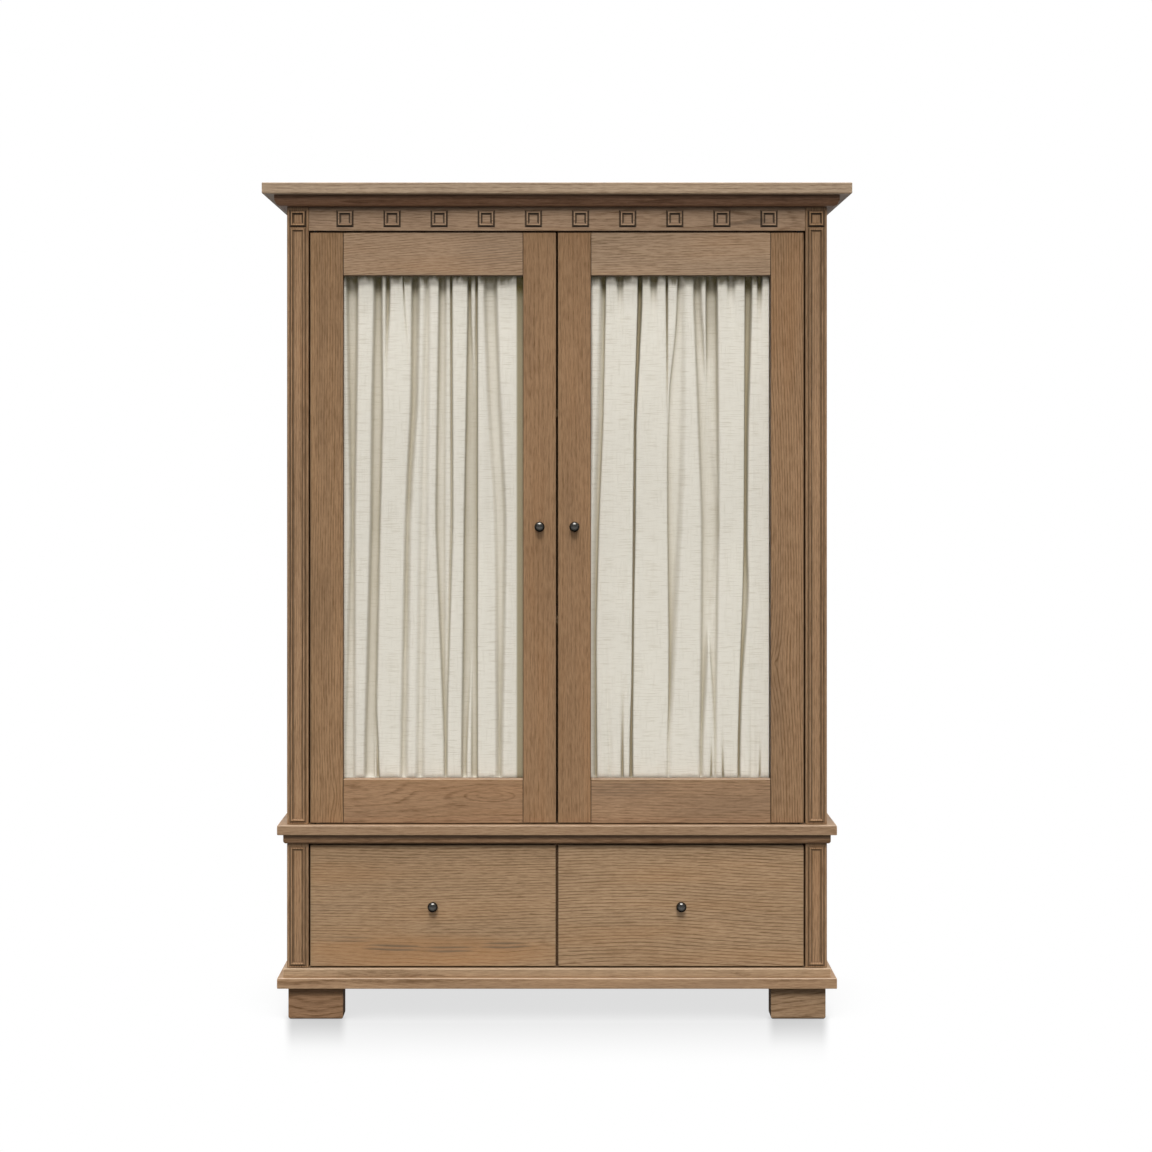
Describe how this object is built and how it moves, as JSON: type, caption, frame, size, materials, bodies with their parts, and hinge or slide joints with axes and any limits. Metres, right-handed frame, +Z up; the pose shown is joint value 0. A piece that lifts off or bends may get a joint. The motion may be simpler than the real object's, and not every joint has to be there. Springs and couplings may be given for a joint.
{
  "type": "armoire",
  "caption": "Tall oak cabinet: glazed doors with gathered curtains inside, over drawers, on block feet, with a moulded cornice and waist.",
  "frame": {"origin": "on the floor under the middle of the cabinet's bounding box", "axes": "+Z up, -Y towards the front of the doors, +X to the right seen from the front"},
  "size_m": [1.43, 0.62, 2.04],
  "materials": {
    "oak_case": "weathered oak, dull oil",
    "oak_door": "weathered oak, dull oil, slightly redder",
    "oak_drawer": "weathered oak, dull oil, slightly paler",
    "oak_top": "weathered oak, greyed",
    "oak_inside": "plain oak, unpolished",
    "linen": "off-white slubbed linen",
    "glass": "clear sheet glass",
    "dark_bronze": "dark bronzed, polished",
    "steel": "plain steel"
  },
  "bodies": {
    "cabinet": {"top_board": "oak_top", "cornice_front": "oak_case", "cornice_left": "oak_case", "cornice_right": "oak_case", "frieze_rail": "oak_case", "upper_post_left": "oak_case", "upper_post_right": "oak_case", "upper_side_left": "oak_case", "upper_side_right": "oak_case", "upper_back_panel": "oak_inside", "shelf_upper": "oak_inside", "shelf_lower": "oak_inside", "waist_board": "oak_case", "waist_moulding": "oak_case", "lower_post_left": "oak_case", "lower_post_right": "oak_case", "lower_side_left": "oak_case", "lower_side_right": "oak_case", "lower_back_panel": "oak_inside", "drawer_partition": "oak_inside", "base_step": "oak_case", "base_board": "oak_case", "foot_front_left": "oak_case", "foot_front_right": "oak_case", "foot_back_left": "oak_case", "foot_back_right": "oak_case", "drawer_guide_left": "oak_inside", "drawer_guide_right": "oak_inside", "pivot_top_left": "steel", "pivot_top_right": "steel", "pivot_bottom_left": "steel", "pivot_bottom_right": "steel", "door_catch_left": "oak_inside", "door_catch_right": "oak_inside"},
    "left_door": {"left_door_hinge_stile": "oak_door", "left_door_meeting_stile": "oak_door", "left_door_top_rail": "oak_door", "left_door_bottom_rail": "oak_door", "left_door_glass": "glass", "left_door_glass_bead": "oak_door", "left_door_curtain": "linen", "left_door_curtain_rod_top": "steel", "left_door_curtain_rod_bottom": "steel", "left_door_knob": "dark_bronze"},
    "right_door": {"right_door_hinge_stile": "oak_door", "right_door_meeting_stile": "oak_door", "right_door_top_rail": "oak_door", "right_door_bottom_rail": "oak_door", "right_door_glass": "glass", "right_door_glass_bead": "oak_door", "right_door_curtain": "linen", "right_door_curtain_rod_top": "steel", "right_door_curtain_rod_bottom": "steel", "right_door_knob": "dark_bronze"},
    "left_drawer": {"left_drawer_front": "oak_drawer", "left_drawer_box": "oak_inside", "left_drawer_knob": "dark_bronze"},
    "right_drawer": {"right_drawer_front": "oak_drawer", "right_drawer_box": "oak_inside", "right_drawer_knob": "dark_bronze"}
  },
  "joints": [
    {"name": "left_door_swing", "type": "hinge", "parent": "cabinet", "child": "left_door", "pos_m": [-0.5915, -0.247, 1.2], "axis": [0, 0, -1], "range_deg": [0, 110]},
    {"name": "right_door_swing", "type": "hinge", "parent": "cabinet", "child": "right_door", "pos_m": [0.5915, -0.247, 1.2], "axis": [0, 0, 1], "range_deg": [0, 110]},
    {"name": "left_drawer_slide", "type": "slide", "parent": "cabinet", "child": "left_drawer", "axis": [0, -1, 0], "range_m": [0, 0.4]},
    {"name": "right_drawer_slide", "type": "slide", "parent": "cabinet", "child": "right_drawer", "axis": [0, -1, 0], "range_m": [0, 0.4]}
  ]
}
